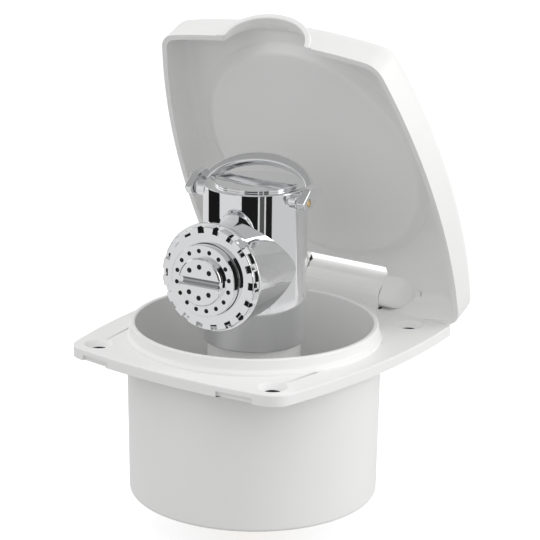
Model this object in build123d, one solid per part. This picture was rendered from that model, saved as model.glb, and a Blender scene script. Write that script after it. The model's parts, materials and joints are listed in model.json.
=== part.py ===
from build123d import *
import math
import os

# All lengths are millimetres. The origin is on the cup's axis at the underside of the
# flange. +Z is up, -Y is the front, +X is the right. The lid stands open, as in the photo.

# Cup and coaming
cup_top_r = 52.5
cup_base_r = 51.8
cup_base_z = -61.7
cup_top_wall = 3.4
cup_base_wall = 3.1
cup_floor = 2.5
cup_edge_r = 1.3
coaming_step = 1.3
coaming_step_base = 0.9
coaming_step_top = 2.2
coaming_top_z = 11.0
coaming_edge_r = 0.7

# Seat in the floor of the cup, where the head stands when it is stowed
well_wall = 2.2
well_depth = 3.8
well_floor = 2.5
well_guide_gap = 0.7
floor_hole_gap = 0.1

# Flange
flange_thick = 4.5
flange_half_x = 61.1
flange_side_arc_r = 290.0
flange_side_arc_y = 16.0
flange_front_y = -61.2
flange_front_arc_r = 296.0
flange_back_y = 62.0
flange_front_corner_r = 9.5
flange_back_corner_r = 1.5
screw_x = 43.4
screw_front_y = -47.9
screw_back_y = 50.9
screw_hole_r = 2.5
screw_sink_r = 5.9
flange_edge = 0.35
notch_height = 2.3
notch_depth = 1.2
notch_spans = ((-43.5, -29.5), (25.0, 41.0))

# Hinge block on the box and hinge axis
tongue_front_y = 55.0
block_half_x = 20.1
block_front_y = 62.9
block_front = (
    (0.3, 1.0), (0.05, 6.0), (0.0, 9.6), (0.45, 11.9), (1.1, 13.0),
    (2.0, 14.0), (4.2, 15.8), (6.1, 16.8), (6.6, 17.6), (6.9, 18.9),
)
block_front_top = 7.9
block_back_edge_y = 1.2
block_back_edge_z = 1.6
block_back_y = 74.0
block_top_z = 19.6
hinge_y = 66.5
hinge_z = 11.5
pin_r = 2.0
pin_block_gap = 0.03
pin_ear_gap = 0.06
lid_open_deg = 65.0

# Lid, drawn closed and then turned open
lid_rim_z = 3.13
lid_depth = 16.0
lid_crown_rise = 1.5
lid_half_x = 65.9
lid_side_arc_r = 270.0
lid_side_arc_y = 24.6
lid_front_y = -64.3
lid_front_arc_r = 276.0
lid_back_y = 75.6
lid_back_arc_r = 290.0
lid_corner_r = 9.0
lid_edge_r = 5.5
lid_wall = 2.3
lid_plate = 2.4
lid_inner_edge_r = 3.6
land_r = 50.2
land_foot_r = 54.3
land_face = 10.9
land_dish = 1.4
ear_inner_x = 20.6
ear_outer_x = 31.0
ear_r = 3.9
ear_end_r = 2.4
ear_skin = 2.0
lid_slot_front_y = 57.8
swing_r = 8.1
lid_flange_gap = 0.2
pull_half_x = 21.0
pull_height = 13.6
pull_mouth_half_x = 18.4
pull_mouth_height = 11.2
pull_throat_half_x = 20.6
pull_throat_height = 13.55
pull_reach = 3.9

# Shower head: a tee of two equal barrels, turned a little on the cup's axis
head_turn_deg = 5.57
body_r = 21.25
body_base_z = 3.8
body_top_z = 69.0
body_bore_r = 17.5
body_bore_top_z = 55.6
body_deck = 2.4
top_bore_r = 15.0
body_edge_r = 0.5
cap_r = 17.0
cap_edge = 0.9
cap_rise = 1.5
cap_spigot_r = 14.9
cap_spigot = 1.5
cap_seal_depth = 0.7
barrel_z = 36.84
barrel_tilt_deg = 1.69
barrel_r = 21.0
barrel_bore_r = 17.3
barrel_end = 32.0
ledge_back = 30.4
ledge_r = 14.0
nose_r = 18.2
nose_bore_r = 15.6
nose_end = 35.4

# Spray end, distances along the nozzle's axis from the body's axis
ring_disc_r = 22.1
ring_back = 32.2
ring_disc_front = 34.4
ring_plateau_r = 21.0
ring_front = 37.2
ring_lip_back = 35.7
ring_gap = 0.06
ring_teeth = 18
ring_notch_depth = 2.2
plate_r = 14.44
plate_flange_r = 15.5
plate_back = 33.0
plate_front = 40.8
plate_wall = 2.0
plate_bevel = 0.7
jet_r = 0.72
outer_jet_circle_r = 12.07
outer_jets = 16
outer_jet_phase_deg = 9.26
plug_r = 9.75
plug_front = 43.6
plug_spigot_r = 8.4
inner_jet_circle_r = 6.28
inner_jet_degs = (44.4, 90.0, 135.6, 224.4, 270.0, 315.6)
slot_length = 16.0
slot_width = 2.4
slot_depth = 1.7

# Lever on its cam shaft
lever_y = -5.5
lever_below_top = 3.4
lever_half_x = 27.7
lug_thick = 3.4
lever_press_deg = 6.0
arch_base_y = 0.8
arch_base_drop = 0.6
arch_lean_deg = 46.0
arch_inset = 2.2
arch_rise = 18.0
arch_thick = 4.5
arch_foot_thick = 2.9
arch_width = 4.4
arch_back = 0.6
lever_body_gap = 0.45
lug_points = (
    (-10.4, 0.3), (-4.0, 5.6), (1.9, 6.0), (4.9, 4.4), (4.4, 1.8),
    (0.3, -0.2), (-3.0, -2.7), (-8.3, -2.8),
)
lug_edge_r = 0.9
shaft_r = 1.6
shaft_gap = 0.06
lug_bore_gap = 0.02
boss_r = 3.2
boss_end_x = 23.5
washer_thick = 0.6
finger_reach = 7.0
finger_drop = 1.8
finger_half_x = 2.5

# Valve, opened by the finger on the cam shaft
stem_r = 1.9
stem_gap = 0.08
stem_head_r = 7.5
stem_head_thick = 1.5
stem_top_gap = 0.2
seat_top_z = 12.2
seat_base_z = 9.2
seat_port_r = 7.0
poppet_r = 9.0
poppet_top_z = 7.6
poppet_base_z = 5.6
spring_r = 7.4
spring_wire_r = 0.55
spring_turns = 5
spring_base_z = -6.95
spring_end_gap = 0.05

# Riser tube, its guide and the hose inlet
riser_r = 19.25
riser_bore_r = 16.4
riser_spigot_r = 17.4
riser_spigot_bore_r = 14.6
riser_spigot_top_z = 9.1
riser_web_top_z = -7.0
riser_web = 3.0
feed_r = 6.0
feed_bore_r = 4.6
guide_gap = 0.06
guide_wall = 2.19
guide_flange_step = 2.1
guide_flange = 1.5
guide_end = 0.8
nut_wall = 3.7
nut_height = 3.2
nut_gap = 0.05
nut_slot_width = 3.0
nut_slot_depth = 0.8
nut_slots = 12
inlet_flange_r = 16.3
inlet_flange_top_z = -66.0
inlet_flange_height = 8.0
inlet_thread_r = 10.48
inlet_thread_length = 5.0
inlet_bore_r = 7.6
inlet_web = 2.0
washer_rubber = 1.2
check_gap = 0.05
check_bore_r = 4.0
check_inset = 2.0
check_web_height = 3.0
check_web = 1.2
check_port_r = 1.1
check_port_circle_r = 2.2


def lathe(points):
    """A solid turned about Z from (radius, height) points."""
    outline = Polyline([(r, 0, z) for r, z in points], close=True)
    return revolve(make_face(outline), Axis.Z)


def tube(outer_r, inner_r, low_z, high_z):
    """A round ring with square ends."""
    return lathe([(inner_r, low_z), (outer_r, low_z), (outer_r, high_z), (inner_r, high_z)])


def drum(radius, low_z, high_z):
    """A round bar standing on low_z."""
    return Pos(0, 0, low_z) * extrude(Circle(radius), high_z - low_z)


def o_ring(centre_r, thick_r, height):
    """A round-section ring lying flat."""
    return Pos(0, 0, height) * Torus(centre_r, thick_r)


def prism_x(points, low_x, high_x):
    """A bar along X whose section is given in Y and Z."""
    outline = Polyline([(low_x, y, z) for y, z in points], close=True)
    return extrude(make_face(outline), high_x - low_x, dir=(1, 0, 0))


def four_arc_sheet(half_x, side_r, side_y, front_y, front_r, back_y, back_r):
    """A plate outline bounded by four flat arcs, all bulging outwards."""
    left = Pos(side_r - half_x, side_y) * Circle(side_r)
    right = Pos(half_x - side_r, side_y) * Circle(side_r)
    front = Pos(0, front_y + front_r) * Circle(front_r)
    back = Pos(0, back_y - back_r) * Circle(back_r)
    return left & right & front & back


def save(shape, node):
    """Writes one node as STEP."""
    export_step(shape, "parts/" + node + ".step")


os.makedirs("parts", exist_ok=True)
turn = Rot(0, 0, head_turn_deg)
aim = turn * Pos(0, 0, barrel_z) * Rot(90 - barrel_tilt_deg, 0, 0)
open_lid = Pos(0, hinge_y, hinge_z) * Rot(-lid_open_deg, 0, 0) * Pos(0, -hinge_y, -hinge_z)

# Box body: cup, well, coaming, flange and hinge block in one moulding
guide_bore_r = riser_r + guide_gap
guide_barrel_r = guide_bore_r + guide_wall
guide_flange_r = guide_barrel_r + guide_flange_step
floor_hole_r = guide_barrel_r + floor_hole_gap
well_inner_r = guide_flange_r + well_guide_gap
well_outer_r = well_inner_r + well_wall
well_floor_top_z = cup_base_z - well_depth
well_base_z = well_floor_top_z - well_floor
cup_mouth_r = cup_top_r - cup_top_wall
cup_inner_base_r = cup_base_r - cup_base_wall
coaming_r = cup_top_r - coaming_step
cup = lathe([
    (floor_hole_r, well_base_z),
    (well_outer_r, well_base_z),
    (well_outer_r, cup_base_z),
    (cup_base_r, cup_base_z),
    (cup_top_r, 0.0),
    (cup_top_r, flange_thick + coaming_step_base),
    (coaming_r, flange_thick + coaming_step_top),
    (coaming_r, coaming_top_z),
    (cup_mouth_r, coaming_top_z),
    (cup_inner_base_r, cup_base_z + cup_floor),
    (well_inner_r, cup_base_z + cup_floor),
    (well_inner_r, well_floor_top_z),
    (floor_hole_r, well_floor_top_z),
])
round_edges = cup.edges().filter_by(GeomType.CIRCLE)
base_edge = [e for e in round_edges if abs(e.radius - cup_base_r) < 0.01]
cup = fillet(base_edge, cup_edge_r)
round_edges = cup.edges().filter_by(GeomType.CIRCLE)
mouth_edges = [e for e in round_edges if abs(e.arc_center.Z - coaming_top_z) < 0.01]
cup = fillet(mouth_edges, coaming_edge_r)

plate = four_arc_sheet(
    flange_half_x, flange_side_arc_r, flange_side_arc_y, flange_front_y,
    flange_front_arc_r, flange_back_y + 40.0, flange_front_arc_r,
)
plate = plate & (Pos(0, flange_back_y - 100.0) * Rectangle(200, 200))
front_corners = plate.vertices().sort_by(Axis.Y)[0:2]
plate = fillet(front_corners, flange_front_corner_r)
back_corners = plate.vertices().sort_by(Axis.Y)[-2:]
plate = fillet(back_corners, flange_back_corner_r)
flange = extrude(plate, flange_thick)
top_edges = flange.faces().sort_by(Axis.Z)[-1].edges().sort_by(Axis.Y)
flange = chamfer(top_edges[:-1], flange_edge)
flange = flange - drum(cup_top_r - 1.0, -1.0, flange_thick + 1.0)
for low_x, high_x in notch_spans:
    middle_x = (low_x + high_x) / 2
    sagitta = middle_x ** 2 / (2 * flange_front_arc_r)
    centre = (middle_x, flange_front_y + sagitta, 0)
    flange = flange - Pos(*centre) * Box(high_x - low_x, 2 * notch_depth, 2 * notch_height)

tongue = Pos(0, (tongue_front_y + block_back_y) / 2, flange_thick / 2) * Box(
    2 * block_half_x, block_back_y - tongue_front_y, flange_thick
)
block = prism_x([(block_front_y + y, z) for y, z in block_front] + [
    (block_front_y + block_front_top, block_top_z),
    (block_back_y - block_back_edge_y, block_top_z),
    (block_back_y, block_top_z - block_back_edge_z),
    (block_back_y, block_front[0][1]),
], -block_half_x, block_half_x)
pin_bore = Rot(0, 90, 0) * Cylinder(pin_r + pin_block_gap, 4 * block_half_x)
pin_bore = Pos(0, hinge_y, hinge_z) * pin_bore
box_body = cup + flange + tongue + block - pin_bore
for x in (-screw_x, screw_x):
    for y in (screw_front_y, screw_back_y):
        sink_depth = screw_sink_r - screw_hole_r
        box_body = box_body - Pos(x, y, 0) * lathe([
            (0, -1.0),
            (screw_hole_r, -1.0),
            (screw_hole_r, flange_thick - sink_depth),
            (screw_sink_r, flange_thick),
            (screw_sink_r, flange_thick + screw_sink_r),
            (0, flange_thick + screw_sink_r),
        ])
save(box_body, "box_body")

# Hinge pin
pin_half_x = ear_outer_x - ear_skin - 0.1
hinge_pin = Pos(0, hinge_y, hinge_z) * Rot(0, 90, 0) * Cylinder(pin_r, 2 * pin_half_x)
hinge_pin = chamfer(hinge_pin.edges().filter_by(GeomType.CIRCLE), 0.4)
save(hinge_pin, "hinge_pin")

# Lid shell
outer_sheet = four_arc_sheet(
    lid_half_x, lid_side_arc_r, lid_side_arc_y, lid_front_y,
    lid_front_arc_r, lid_back_y, lid_back_arc_r,
)
outer_sheet = fillet(outer_sheet.vertices(), lid_corner_r)
inner_sheet = four_arc_sheet(
    lid_half_x - lid_wall, lid_side_arc_r - lid_wall, lid_side_arc_y, lid_front_y + lid_wall,
    lid_front_arc_r - lid_wall, lid_back_y - lid_wall, lid_back_arc_r - lid_wall,
)
inner_sheet = fillet(inner_sheet.vertices(), lid_corner_r - lid_wall)
lid_top_z = lid_rim_z + lid_depth
crown_r = lid_half_x ** 2 / (2 * lid_crown_rise)
crown_top_z = lid_top_z + lid_crown_rise
shell = Pos(0, 0, lid_rim_z) * extrude(outer_sheet, lid_depth + 4.0)
shell = shell & Pos(0, 0, crown_top_z - crown_r) * Sphere(crown_r)
top_face = shell.faces().sort_by(Axis.Z)[-1]
shell = fillet(top_face.edges(), lid_edge_r)
hollow = Pos(0, 0, lid_rim_z - 2.0) * extrude(inner_sheet, lid_depth - lid_plate + 2.0)
hollow = fillet(hollow.faces().sort_by(Axis.Z)[-1].edges(), lid_inner_edge_r)
land_z = lid_rim_z + land_face
land_top_z = lid_top_z - lid_plate + 0.6
land = lathe([
    (0, land_z),
    (land_r, land_z),
    (land_foot_r, land_top_z - 0.6),
    (land_foot_r, land_top_z),
    (0, land_top_z),
])
dish_r = (land_r - 1.0) ** 2 / (2 * land_dish)
dish = Pos(0, 0, land_z + land_dish - dish_r) * Sphere(dish_r)
dish = dish & drum(land_r - 1.0, land_z - 1.0, land_z + 3.0)

# Finger pull at the lid's front: a hood that leans out over a mouth in the skirt
hood = Plane.XZ.offset(50.0) * (Pos(0, lid_rim_z) * Ellipse(pull_half_x, pull_height))
hood = extrude(hood, 30.0)
hood_back_y = lid_front_y + lid_wall
hood_limit = prism_x([
    (hood_back_y, lid_rim_z),
    (lid_front_y + 0.5, lid_rim_z),
    (lid_front_y - pull_reach, lid_rim_z + pull_height + 1.0),
    (hood_back_y, lid_rim_z + pull_height + 1.0),
], -30.0, 30.0)
hood = hood & hood_limit
mouth_back = Plane.XZ.offset(57.0) * (Pos(0, lid_rim_z) * Ellipse(pull_throat_half_x, pull_throat_height))
mouth_front = Plane.XZ.offset(75.0) * (Pos(0, lid_rim_z) * Ellipse(
    pull_mouth_half_x - 0.6 * (pull_throat_half_x - pull_mouth_half_x),
    pull_mouth_height - 0.6 * (pull_throat_height - pull_mouth_height),
))
mouth = loft([mouth_back, mouth_front])

# Ears, the slot for the hinge block and the relief where the skirt passes the flange
knuckle = Rot(0, 90, 0) * Cylinder(ear_r, ear_outer_x - ear_inner_x)
web_height = lid_top_z - 1.5 - hinge_z
web = Pos(0, 0, web_height / 2) * Box(ear_outer_x - ear_inner_x, 2 * ear_r, web_height)
ear_x = (ear_inner_x + ear_outer_x) / 2
heel_reach = lid_back_y - lid_wall - 0.4 - hinge_y
heel_top = 3.5
heel = Pos(0, heel_reach / 2, (heel_top - ear_r) / 2) * Box(
    ear_outer_x - ear_inner_x, heel_reach, heel_top + ear_r
)
ear = Pos(ear_x, 0, 0) * (knuckle + web + heel)
ear_side = ear.faces().sort_by(Axis.X)[-1]
ear_end = [e for e in ear_side.edges() if e.center().Z < web_height - 1.0 and e.center().Y < heel_reach - 0.1]
ear = fillet(ear_end, ear_end_r)
ears = Pos(0, hinge_y, hinge_z) * (ear + mirror(ear, about=Plane.YZ))
slot_back_y = lid_back_y + 5.0
slot = Pos(0, (lid_slot_front_y + slot_back_y) / 2, 15.0) * Box(
    2 * ear_inner_x, slot_back_y - lid_slot_front_y, 60.0
)
relief_angle = 122.7 - lid_open_deg + 0.6
relief_dy = math.cos(math.radians(relief_angle)) * 30.0
relief_dz = -math.sin(math.radians(relief_angle)) * 30.0
relief = prism_x([
    (0.0, 0.0), (relief_dy, relief_dz), (-30.0, relief_dz), (-30.0, 0.0),
], -61.9, 61.9)
relief = relief - Rot(0, 90, 0) * Cylinder(swing_r, 140.0)
relief = Pos(0, hinge_y, hinge_z) * relief
lid = shell - hollow + land - dish
lid = lid + hood - mouth + ears - slot - relief
ear_bore_half_x = ear_outer_x - ear_skin
ear_bore = Rot(0, 90, 0) * Cylinder(pin_r + pin_ear_gap, 2 * ear_bore_half_x)
lid = lid - Pos(0, hinge_y, hinge_z) * ear_bore
flange_pocket = extrude(offset(plate, lid_flange_gap), flange_thick + lid_flange_gap + 1.0 - lid_rim_z)
lid = lid - Pos(0, 0, lid_rim_z - 1.0) * flange_pocket
lid = lid.solids().sort_by(SortBy.VOLUME)[-1]
lid = open_lid * lid
flange_room_y = flange_back_y + lid_flange_gap
flange_room_z = flange_thick + lid_flange_gap
lid = lid - Pos(0, flange_room_y - 10.0, flange_room_z - 10.0) * Box(123.8, 20.0, 20.0)
save(lid, "lid")

# Guide for the riser, and the ring nut that clamps it in the floor
guide_base_z = well_base_z - nut_height - guide_end
guide = tube(guide_flange_r, guide_bore_r, well_floor_top_z, well_floor_top_z + guide_flange)
guide = guide + tube(guide_barrel_r, guide_bore_r, guide_base_z, well_floor_top_z)
save(guide, "floor_guide")
nut_r = guide_barrel_r + nut_wall
nut = tube(nut_r, guide_barrel_r + nut_gap, well_base_z - nut_height, well_base_z)
nut_slot = Box(2 * nut_slot_depth, nut_slot_width, 3 * nut_height)
for k in range(nut_slots):
    nut = nut - Rot(0, 0, 360 / nut_slots * k) * Pos(nut_r, 0, well_base_z - nut_height / 2) * nut_slot
save(nut, "guide_nut")

# Riser tube under the head
inlet_flange_base_z = inlet_flange_top_z - inlet_flange_height
inlet_base_z = inlet_flange_base_z - inlet_thread_length
riser_base_z = inlet_flange_base_z
riser = lathe([
    (riser_bore_r, riser_base_z),
    (riser_r, riser_base_z),
    (riser_r, body_base_z),
    (riser_spigot_r, body_base_z),
    (riser_spigot_r, riser_spigot_top_z),
    (riser_spigot_bore_r, riser_spigot_top_z),
    (riser_spigot_bore_r, riser_web_top_z),
    (feed_bore_r, riser_web_top_z),
    (feed_bore_r, riser_web_top_z - riser_web),
    (riser_bore_r, riser_web_top_z - riser_web),
])
save(riser, "riser_tube")
feed = tube(feed_r, feed_bore_r, inlet_flange_top_z + washer_rubber, riser_web_top_z - riser_web)
save(feed, "feed_pipe")
rubber = tube(inlet_flange_r, feed_bore_r, inlet_flange_top_z, inlet_flange_top_z + washer_rubber)
save(rubber, "inlet_washer")
inlet = lathe([
    (inlet_bore_r, inlet_base_z),
    (inlet_thread_r, inlet_base_z),
    (inlet_thread_r, inlet_flange_base_z),
    (inlet_flange_r, inlet_flange_base_z),
    (inlet_flange_r, inlet_flange_top_z),
    (feed_bore_r, inlet_flange_top_z),
    (feed_bore_r, inlet_flange_top_z - inlet_web),
    (inlet_bore_r, inlet_flange_top_z - inlet_web),
])
save(inlet, "hose_inlet")
check_base_z = inlet_base_z + check_inset
check_web_base_z = check_base_z + check_web_height
check = tube(inlet_bore_r - check_gap, check_bore_r, check_base_z, inlet_flange_top_z - inlet_web)
check = check + drum(check_bore_r, check_web_base_z, check_web_base_z + check_web)
for k in range(3):
    port = Pos(check_port_circle_r, 0, check_web_base_z) * Cylinder(check_port_r, 4 * check_web)
    check = check - Rot(0, 0, 120 * k) * port
save(check, "check_valve")

# Head body
lever_z = body_top_z - lever_below_top
cap_edge_z = body_top_z + cap_edge
cap_apex_z = body_top_z + cap_rise
cap_spigot_z = body_top_z - cap_spigot
cap_seal_z = body_top_z - cap_seal_depth
body = drum(body_r, body_base_z, body_top_z)
body = chamfer(body.edges().filter_by(GeomType.CIRCLE).sort_by(Axis.Z)[-1:], body_edge_r)
body = turn * body
body = body + aim * drum(barrel_r, 0.0, barrel_end)
body = body + aim * drum(nose_r, barrel_end - 1.0, nose_end)
boss = Pos(0, lever_y, lever_z) * Rot(0, 90, 0) * Cylinder(boss_r, 2 * boss_end_x)
body = body + turn * boss
body = body - drum(body_bore_r, body_base_z - 1.0, body_bore_top_z)
body = body - turn * drum(top_bore_r, body_bore_top_z + body_deck, body_top_z + 1.0)
body = body - aim * drum(barrel_bore_r, 0.0, ledge_back)
body = body - aim * drum(ledge_r, 0.0, nose_end + 1.0)
body = body - aim * drum(nose_bore_r, barrel_end, nose_end + 1.0)
body = body - drum(stem_r + stem_gap, body_bore_top_z - 1.0, body_bore_top_z + body_deck + 1.0)
shaft_bore = Pos(0, lever_y, lever_z) * Rot(0, 90, 0) * Cylinder(shaft_r + shaft_gap, 4 * body_r)
body = body - turn * shaft_bore
save(body, "shower_body")

# Cap with its seal
cap = lathe([
    (0, body_top_z),
    (cap_r, body_top_z),
    (cap_r, cap_edge_z - 0.3),
    (cap_r - 0.3, cap_edge_z),
    (cap_r * 0.6, cap_edge_z + (cap_apex_z - cap_edge_z) * 0.64),
    (0, cap_apex_z),
])
cap = cap + tube(cap_spigot_r, 12.2, cap_spigot_z, body_top_z)
cap = cap - o_ring(cap_spigot_r - 0.5, 0.57, cap_seal_z)
save(cap, "top_cap")
save(o_ring(cap_spigot_r - 0.5, 0.53, cap_seal_z), "cap_seal")

# Lever: an arch that leans back from two lugs on the cam shaft
arch_half_x = lever_half_x - arch_inset
lean = Pos(0, arch_base_y, lever_z - arch_base_drop) * Rot(-arch_lean_deg, 0, 0)
arch_hole = Ellipse(arch_half_x - arch_foot_thick, arch_rise - arch_thick)
arch = Ellipse(arch_half_x, arch_rise) - arch_hole
arch = arch & (Pos(0, 14.6) * Rectangle(80, 24.0))
arch = Pos(0, -arch_back, 0) * Rot(90, 0, 0) * extrude(arch, arch_width / 2, both=True)
lug = prism_x(lug_points, 0.0, lug_thick)
lug = fillet(lug.edges().filter_by(Axis.X), lug_edge_r)
lever = lean * arch
lever = lever + Pos(lever_half_x - lug_thick, 0, lever_z) * lug + Pos(-lever_half_x, 0, lever_z) * lug
for press in (0.0, lever_press_deg / 2, lever_press_deg):
    room = drum(body_r + lever_body_gap, 40.0, body_top_z + lever_body_gap)
    room = room + drum(cap_r + lever_body_gap, 40.0, cap_apex_z + lever_body_gap)
    room = Pos(0, -lever_y, -lever_z) * room
    lever = lever - Pos(0, lever_y, lever_z) * Rot(press, 0, 0) * room
boss_room = Rot(0, 90, 0) * Cylinder(boss_r + lever_body_gap, 2 * (lever_half_x - lug_thick))
lever = lever - Pos(0, lever_y, lever_z) * boss_room
lug_bore = Rot(0, 90, 0) * Cylinder(shaft_r + lug_bore_gap, 4 * lever_half_x)
lever = lever - Pos(0, lever_y, lever_z) * lug_bore
save(turn * lever, "bail_lever")

# Cam shaft through the lugs, with the finger that presses the valve
shaft = Rot(0, 90, 0) * Cylinder(shaft_r, 2 * (lever_half_x - 0.6))
finger_top = 1.2
finger = Pos(0, finger_reach / 2, (finger_top - finger_drop) / 2) * Box(
    2 * finger_half_x, finger_reach, finger_top + finger_drop
)
shaft = turn * Pos(0, lever_y, lever_z) * (shaft + finger)
save(shaft, "cam_shaft")
for side, name in ((1, "pivot_washer_right"), (-1, "pivot_washer_left")):
    washer_x = side * (boss_end_x + washer_thick / 2)
    washer = Pos(washer_x, lever_y, lever_z) * Rot(0, 90, 0) * (
        Cylinder(boss_r - 0.2, washer_thick) - Cylinder(shaft_r + shaft_gap, 5.0)
    )
    save(turn * washer, name)

# Valve
stem_top_z = lever_z - finger_drop - stem_top_gap
stem = drum(stem_head_r, stem_top_z - stem_head_thick, stem_top_z)
stem = stem + drum(stem_r, poppet_base_z, stem_top_z)
stem = stem + drum(poppet_r, poppet_base_z, poppet_top_z)
seal_centre_r = (seat_port_r + poppet_r) / 2 + 0.1
stem = stem - o_ring(seal_centre_r, 0.82, poppet_top_z + 0.4)
save(stem, "valve_stem")
save(o_ring(seal_centre_r, 0.8, poppet_top_z + 0.4), "valve_seal")
save(tube(body_bore_r - 0.05, seat_port_r, seat_base_z, seat_top_z), "valve_seat")
spring_height = poppet_base_z - spring_end_gap - 2 * spring_wire_r - spring_base_z
coil = Helix(spring_height / spring_turns, spring_height, spring_r)
section = Plane(coil @ 0, z_dir=coil % 0) * Circle(spring_wire_r)
spring = sweep(section, path=coil)
save(Pos(0, 0, spring_base_z + spring_wire_r) * spring, "valve_spring")

# Grip ring with its castle teeth
ring = lathe([
    (nose_r + ring_gap, ring_back),
    (ring_disc_r - 0.5, ring_back),
    (ring_disc_r, ring_back + 0.5),
    (ring_disc_r, ring_disc_front - 0.4),
    (ring_disc_r - 0.4, ring_disc_front),
    (ring_plateau_r, ring_disc_front),
    (ring_plateau_r, ring_front - 0.4),
    (ring_plateau_r - 0.4, ring_front),
    (plate_r + 0.12, ring_front),
    (plate_r + 0.12, ring_lip_back),
    (nose_r + ring_gap, ring_lip_back),
])
for k in range(ring_teeth):
    tooth_gap = Pos(ring_plateau_r, 0, ring_front) * Box(5.0, 3.0, 2 * ring_notch_depth)
    ring = ring - Rot(0, 0, 360 / ring_teeth * k) * tooth_gap
save(aim * ring, "grip_ring")

# Spray plate, plug, filter and seal
cavity_r = plate_r - 1.3
spray = lathe([
    (plug_spigot_r + 0.05, plate_front - plate_wall),
    (cavity_r, plate_front - plate_wall),
    (cavity_r, plate_back),
    (plate_flange_r, plate_back),
    (plate_flange_r, ring_lip_back - 0.4),
    (plate_r, ring_lip_back - 0.4),
    (plate_r, plate_front - plate_bevel),
    (plate_r - plate_bevel, plate_front),
    (plug_spigot_r + 0.05, plate_front),
])
for k in range(outer_jets):
    angle = outer_jet_phase_deg + 360 / outer_jets * k
    spray = spray - Rot(0, 0, angle) * Pos(outer_jet_circle_r, 0, plate_front) * Cylinder(jet_r, 8.0)
save(aim * spray, "spray_plate")
plug = lathe([
    (0, plate_front - plate_wall),
    (plug_spigot_r, plate_front - plate_wall),
    (plug_spigot_r, plate_front),
    (plug_r, plate_front),
    (plug_r, plug_front - 0.8),
    (plug_r - 0.8, plug_front),
    (0, plug_front),
])
plug = plug - Pos(0, 0, plug_front) * Box(slot_length, slot_width, 2 * slot_depth)
for angle in inner_jet_degs:
    plug = plug - Rot(0, 0, angle) * Pos(inner_jet_circle_r, 0, plug_front) * Cylinder(jet_r, 20.0)
save(aim * plug, "centre_plug")
mesh = drum(cavity_r - 0.05, plate_back + 0.1, plate_back + 0.8)
for ring_no, count in ((0, 1), (1, 6), (2, 12), (3, 18)):
    for k in range(count):
        spot = Rot(0, 0, 360 / count * k) * Pos(3.8 * ring_no, 0, plate_back) * Cylinder(1.2, 6.0)
        mesh = mesh - spot
save(aim * mesh, "nozzle_filter")
seal_mid = (barrel_end + plate_back) / 2
save(aim * o_ring(nose_bore_r - 0.62, 0.48, seal_mid), "nozzle_seal")
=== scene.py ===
import bpy
import bmesh
import json
import math
import numpy as np
from mathutils import Matrix, Vector


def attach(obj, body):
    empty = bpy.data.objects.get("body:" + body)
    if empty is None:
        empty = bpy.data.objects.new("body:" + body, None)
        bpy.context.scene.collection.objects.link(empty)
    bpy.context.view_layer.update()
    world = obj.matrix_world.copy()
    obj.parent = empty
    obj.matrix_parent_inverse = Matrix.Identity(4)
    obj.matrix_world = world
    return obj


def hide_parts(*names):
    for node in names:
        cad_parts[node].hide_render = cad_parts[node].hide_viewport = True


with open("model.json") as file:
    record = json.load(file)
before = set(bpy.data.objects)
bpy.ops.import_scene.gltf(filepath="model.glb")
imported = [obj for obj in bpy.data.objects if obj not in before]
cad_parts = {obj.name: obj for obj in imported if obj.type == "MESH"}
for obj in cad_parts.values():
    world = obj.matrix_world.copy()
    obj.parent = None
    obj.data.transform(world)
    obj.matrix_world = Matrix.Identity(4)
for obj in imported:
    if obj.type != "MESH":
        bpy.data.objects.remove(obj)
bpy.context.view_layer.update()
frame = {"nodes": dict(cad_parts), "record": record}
MM = 0.001


# Shader maths and finishes
class Sock:
    """A shader socket whose arithmetic adds Math nodes."""

    def __init__(self, tree, out):
        self.tree = tree
        self.out = out

    def _math(self, operation, a, b):
        node = self.tree.nodes.new("ShaderNodeMath")
        node.operation = operation
        for slot, value in zip(node.inputs, (a, b)):
            if isinstance(value, Sock):
                self.tree.links.new(value.out, slot)
            else:
                slot.default_value = value
        return Sock(self.tree, node.outputs[0])

    def __add__(self, other):
        return self._math("ADD", self, other)

    def __radd__(self, other):
        return self._math("ADD", other, self)

    def __mul__(self, other):
        return self._math("MULTIPLY", self, other)

    def __rmul__(self, other):
        return self._math("MULTIPLY", other, self)


class Finish:
    """A material under construction: one Principled shader and whatever feeds it."""

    def __init__(self, name, colour, roughness, metallic=0.0, **fixed):
        self.material = bpy.data.materials.new(name)
        self.material.use_nodes = True
        self.tree = self.material.node_tree
        self.shader = self.tree.nodes["Principled BSDF"]
        self.shader.inputs["Base Color"].default_value = (*colour, 1.0)
        self.shader.inputs["Roughness"].default_value = roughness
        self.shader.inputs["Metallic"].default_value = metallic
        for socket, value in fixed.items():
            self.shader.inputs[socket.replace("_", " ")].default_value = value

    def node(self, kind, settings=None, output=0, **sockets):
        """One node: its settings first, then its sockets, then the output asked for."""
        made = self.tree.nodes.new(kind)
        for key, value in (settings or {}).items():
            if key == "stops":
                ramp = made.color_ramp
                while len(ramp.elements) < len(value):
                    ramp.elements.new(0.5)
                for element, (place, tone) in zip(ramp.elements, value):
                    element.position = place
                    element.color = tone if hasattr(tone, "__len__") else (tone, tone, tone, 1.0)
            else:
                setattr(made, key, value)
        for key, value in sockets.items():
            slot = made.inputs[key]
            if isinstance(value, Sock):
                self.tree.links.new(value.out, slot)
            else:
                slot.default_value = value
        return Sock(self.tree, made.outputs[output])

    def feed(self, socket, value):
        self.tree.links.new(value.out, self.shader.inputs[socket])

    def object_place(self):
        return self.node("ShaderNodeTexCoord", output=3)

    def noise(self, scale, detail=2.0, roughness=0.5):
        return self.node(
            "ShaderNodeTexNoise", Vector=self.object_place(), Scale=scale, Detail=detail, Roughness=roughness
        )

    def bump(self, height, strength, distance):
        self.feed("Normal", self.node("ShaderNodeBump", Height=height, Strength=strength, Distance=distance))


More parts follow.
